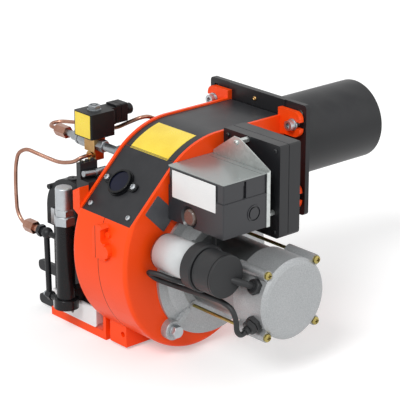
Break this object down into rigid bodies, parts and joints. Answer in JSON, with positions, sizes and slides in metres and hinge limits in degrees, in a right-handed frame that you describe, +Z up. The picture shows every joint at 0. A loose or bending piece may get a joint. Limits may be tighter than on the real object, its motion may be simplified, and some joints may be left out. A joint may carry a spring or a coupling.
{
  "type": "waste oil burner",
  "caption": "Forced-draught burner for waste oil: blast tube on a bolted flange, cast fan housing with side motor, ignition box, oil heater, gear pump and solenoid valve",
  "frame": {"origin": "centre of the flange gasket's boiler side, on the blast tube's axis", "axes": "+Y the way the flame leaves, +X towards the fan motor, +Z up"},
  "size_m": [0.4845, 0.53, 0.3535],
  "materials": {
    "orange_paint": "gloss",
    "black_satin": "satin",
    "cover_grey": "satin",
    "gasket": "matte",
    "zinc_steel": "satin",
    "steel": "satin",
    "black_plastic": "satin",
    "dark_glass": "gloss",
    "brass": "satin",
    "porcelain": "gloss",
    "cast_alloy": "satin",
    "yellow_zinc": "satin",
    "black_rubber": "matte",
    "white_sleeve": "gloss",
    "zinc_sheet": "satin",
    "red_lens": "gloss",
    "dark_casting": "matte",
    "copper": "satin"
  },
  "bodies": {
    "burner": {"flange_gasket": "gasket", "mounting_flange": "black_satin", "blast_tube": "black_satin", "housing_left": "orange_paint", "housing_right": "orange_paint", "top_cover": "cover_grey", "front_cover": "cover_grey", "flange_studs": "zinc_steel", "sight_glass_ring": "black_plastic", "sight_glass": "dark_glass", "cover_screws": "zinc_steel", "nozzle_line": "brass", "burner_head": "steel", "electrodes": "porcelain", "inlet_bell": "zinc_steel", "motor_flange": "cast_alloy", "motor_bolts": "zinc_steel", "stator_tube": "cast_alloy", "stator_core": "steel", "bearings": "steel", "end_shield": "cast_alloy", "tie_rods": "yellow_zinc", "lower_gland": "black_rubber", "capacitor_can": "white_sleeve", "capacitor_boot": "black_rubber", "capacitor_lead": "black_rubber", "capacitor_clamp": "black_plastic", "transformer": "black_plastic", "control_bracket": "zinc_sheet", "control_base": "black_plastic", "control_cover": "black_plastic", "control_lid": "zinc_sheet", "air_box": "black_plastic", "pump_body": "cast_alloy", "pump_cover": "cast_alloy", "side_bracket": "zinc_sheet", "heater_stand": "black_satin", "heater_block": "dark_casting", "heater_cap": "zinc_steel", "heater_tube": "black_satin", "feed_union": "black_satin", "feed_pipe": "copper", "nozzle_pipe": "copper", "motor_lead": "black_rubber", "junction_box": "black_plastic", "solenoid_coil": "black_plastic", "coil_connector": "black_plastic", "valve_body": "brass", "valve_fittings": "zinc_steel"},
    "fan_shaft": {"motor_shaft": "steel", "rotor": "steel", "fan_wheel": "zinc_steel", "pump_coupling": "black_plastic", "pump_drive_gear": "steel"},
    "pump_idler": {"pump_idler_gear": "steel"},
    "reset": {"reset_button": "red_lens"},
    "damper": {"damper_flap": "zinc_sheet", "damper_lever": "zinc_steel"},
    "plunger": {"valve_plunger": "steel"}
  },
  "joints": [
    {"name": "fan_spin", "type": "hinge", "parent": "burner", "child": "fan_shaft", "pos_m": [0, -0.159, -0.1395], "axis": [1, 0, 0], "continuous": true},
    {"name": "idler_spin", "type": "hinge", "parent": "burner", "child": "pump_idler", "pos_m": [-0.146, -0.159, -0.1635], "axis": [1, 0, 0], "continuous": true},
    {"name": "reset_press", "type": "slide", "parent": "burner", "child": "reset", "axis": [0, 1, 0], "range_m": [0, 0.003], "stiffness_N_per_m": 400},
    {"name": "damper_swing", "type": "hinge", "parent": "burner", "child": "damper", "pos_m": [-0.09, -0.0856, -0.15], "axis": [-1, 0, 0], "range_deg": [0, 70]},
    {"name": "plunger_lift", "type": "slide", "parent": "burner", "child": "plunger", "axis": [0, 0, 1], "range_m": [0, 0.003], "stiffness_N_per_m": 600}
  ],
  "couplings": [
    {"joint": "idler_spin", "follows": "fan_spin", "ratio": -1}
  ]
}
